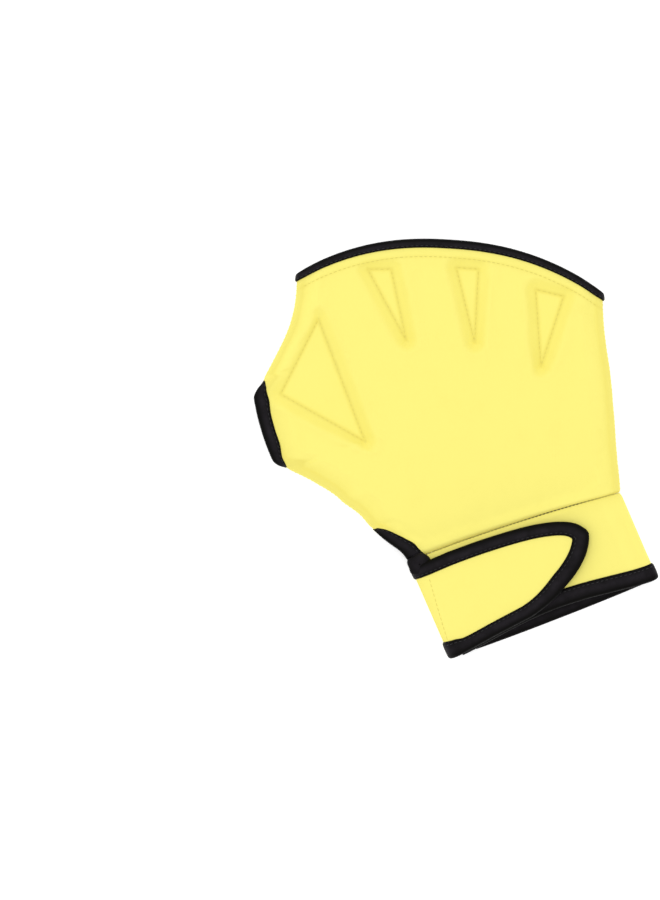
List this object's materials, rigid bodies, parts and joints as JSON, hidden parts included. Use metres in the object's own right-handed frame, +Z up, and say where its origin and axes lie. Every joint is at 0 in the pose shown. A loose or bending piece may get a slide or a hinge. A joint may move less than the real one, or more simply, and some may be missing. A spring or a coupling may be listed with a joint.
{
  "type": "swim glove",
  "caption": "Open-fingered webbed swim glove for the right hand, bound with tape and closed by a strap at the wrist, lying flat with the back of the hand up.",
  "frame": {"origin": "centre of the glove's outline, on the surface that it lies on", "axes": "+Z up out of the back of the hand, +Y from the wrist to the fingers, +X to the little finger"},
  "size_m": [0.2018, 0.2092, 0.0161],
  "materials": {
    "shell": "smooth stretch knit over foam",
    "tape": "satin binding tape",
    "pad": "hook and loop pad"
  },
  "bodies": {
    "root": {"back_panel": "shell", "palm_panel": "shell", "wrist_band": "shell", "strap": "shell", "hook_pad": "pad", "finger_binding": "tape", "hem_binding": "tape", "strap_binding": "tape", "thumb_binding_back": "tape", "thumb_binding_palm": "tape", "slit_binding_back": "tape", "slit_binding_palm": "tape"}
  },
  "joints": []
}
